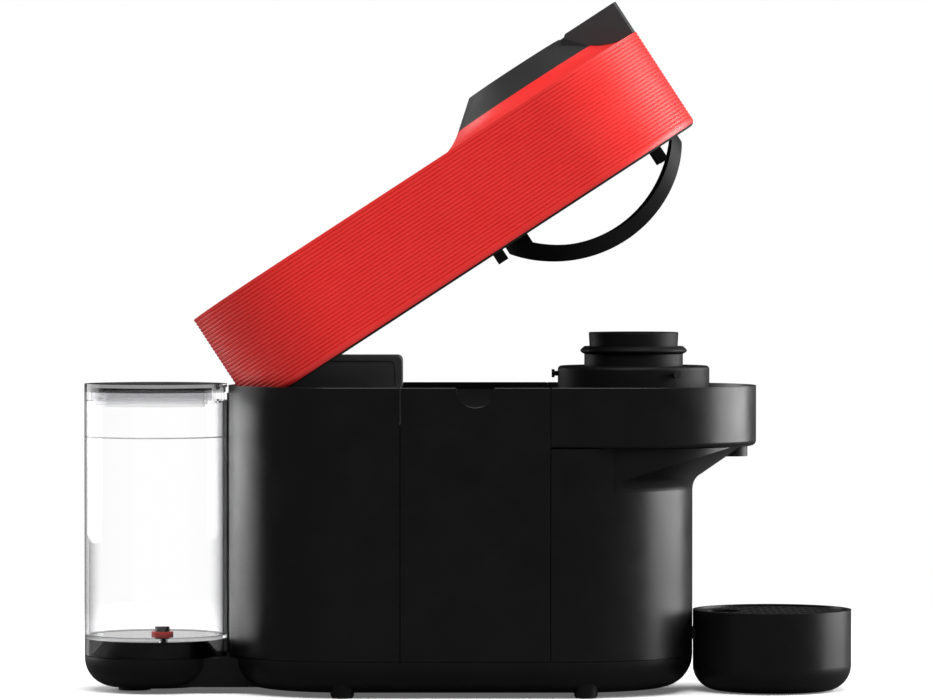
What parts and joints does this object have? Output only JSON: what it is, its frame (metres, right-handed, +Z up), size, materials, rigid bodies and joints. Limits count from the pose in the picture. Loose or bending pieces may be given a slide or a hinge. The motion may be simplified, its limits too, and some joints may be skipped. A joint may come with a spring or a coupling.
{
  "type": "pod coffee machine",
  "caption": "Compact pod coffee machine: long round-ended body, ribbed head that hinges open over a capsule holder, clear round water tank behind, round cup stand with a grid in front.",
  "frame": {"origin": "on the ground under the middle of the machine", "axes": "+X from the water tank to the cup stand, +Y to the far side, +Z up"},
  "size_m": [0.426, 0.136, 0.382],
  "materials": {
    "body_black": "satin moulded plastic, near black",
    "inner_black": "plain moulded plastic, dark grey",
    "gloss_black": "smooth black plastic with a soft shine",
    "red_shell": "satin red plastic with fine ribs",
    "clear_tank": "clear moulded plastic",
    "rubber": "soft rubber",
    "red_seal": "soft red seal",
    "steel": "plain turned steel",
    "aluminium": "cast aluminium",
    "zinc": "plated steel can",
    "white_plastic": "plain white moulded plastic",
    "hose": "silicone hose",
    "board": "green circuit board"
  },
  "bodies": {
    "machine": {"base_pan": "body_black", "rubber_feet": "rubber", "base_screws": "steel", "chassis": "inner_black", "rear_housing": "body_black", "front_housing": "body_black", "side_panel": "body_black", "hinge_tower": "body_black", "hinge_pin": "steel", "hinge_spring": "steel", "brew_deck": "inner_black", "drum_housing": "inner_black", "drum_bearing": "steel", "coffee_duct": "inner_black", "spout": "inner_black", "motor_shelf": "inner_black", "drum_motor": "zinc", "motor_screws": "steel", "water_pump": "white_plastic", "pump_mounts": "rubber", "flow_meter": "white_plastic", "thermoblock": "aluminium", "heater_legs": "steel", "control_board": "board", "inlet_hose": "hose", "suction_hose": "hose", "pressure_hose": "hose", "hot_hose": "hose", "dock_spigot": "white_plastic", "dock_seal": "red_seal", "cord_gland": "inner_black"},
    "head": {"head_shell": "red_shell", "head_frame": "inner_black", "dome_cover": "gloss_black", "ejector_loop": "gloss_black", "lock_hooks": "inner_black", "clamp_housing": "inner_black", "clamp_bearing": "steel", "head_water_tube": "hose", "button_board": "board"},
    "lever": {"front_lever": "body_black", "lever_pin": "steel"},
    "button": {"brew_button": "gloss_black"},
    "clamp": {"brew_clamp": "gloss_black", "clamp_seal": "red_seal", "water_needle": "steel"},
    "drum": {"capsule_holder": "gloss_black", "drum_shaft": "steel"},
    "locker": {"lock_ring": "gloss_black", "lock_pegs": "gloss_black"},
    "tank": {"tank_vessel": "clear_tank", "lid_pin": "steel"},
    "tank_cover": {"tank_lid": "clear_tank"},
    "valve": {"valve_poppet": "gloss_black", "valve_seal": "red_seal"},
    "container": {"capsule_bin": "body_black"},
    "tray": {"drip_tray": "body_black"},
    "grid": {"drip_grid": "body_black"}
  },
  "joints": [
    {"name": "head_hinge", "type": "hinge", "parent": "machine", "child": "head", "pos_m": [-0.1008, 0, 0.1854], "axis": [0, 1, 0], "range_deg": [0, 33.1]},
    {"name": "lever_lift", "type": "hinge", "parent": "head", "child": "lever", "pos_m": [0.0612, 0, 0.36227], "axis": [0, -1, 0], "range_deg": [0, 16], "stiffness_Nm_per_rad": 0.02, "springref_deg": -5.73},
    {"name": "button_press", "type": "slide", "parent": "head", "child": "button", "axis": [0.5461, 0, -0.8377], "range_m": [0, 0.0012], "stiffness_N_per_m": 900, "springref_m": -0.0006},
    {"name": "clamp_spin", "type": "hinge", "parent": "head", "child": "clamp", "pos_m": [0.0475, 0, 0.31096], "axis": [-0.5461, 0, 0.8377], "continuous": true},
    {"name": "drum_spin", "type": "hinge", "parent": "machine", "child": "drum", "pos_m": [0.092, 0, 0.16], "axis": [0, 0, 1], "continuous": true},
    {"name": "lock_turn", "type": "hinge", "parent": "machine", "child": "locker", "pos_m": [0.092, 0, 0.16], "axis": [0, 0, 1], "range_deg": [0, 20]},
    {"name": "tank_lift", "type": "slide", "parent": "machine", "child": "tank", "axis": [-0.6, 0, 0.8], "range_m": [0, 0.05]},
    {"name": "lid_hinge", "type": "hinge", "parent": "tank", "child": "tank_cover", "pos_m": [-0.1382, 0, 0.1682], "axis": [0, 1, 0], "range_deg": [0, 45]},
    {"name": "valve_lift", "type": "slide", "parent": "tank", "child": "valve", "axis": [0, 0, 1], "range_m": [0, 0.002], "stiffness_N_per_m": 300, "springref_m": -0.001},
    {"name": "container_slide", "type": "slide", "parent": "machine", "child": "container", "axis": [0, -1, 0], "range_m": [0, 0.12]},
    {"name": "tray_slide", "type": "slide", "parent": "machine", "child": "tray", "axis": [1, 0, 0], "range_m": [0, 0.06]},
    {"name": "grid_lift", "type": "slide", "parent": "tray", "child": "grid", "axis": [0, 0, 1], "range_m": [0, 0.02]}
  ]
}
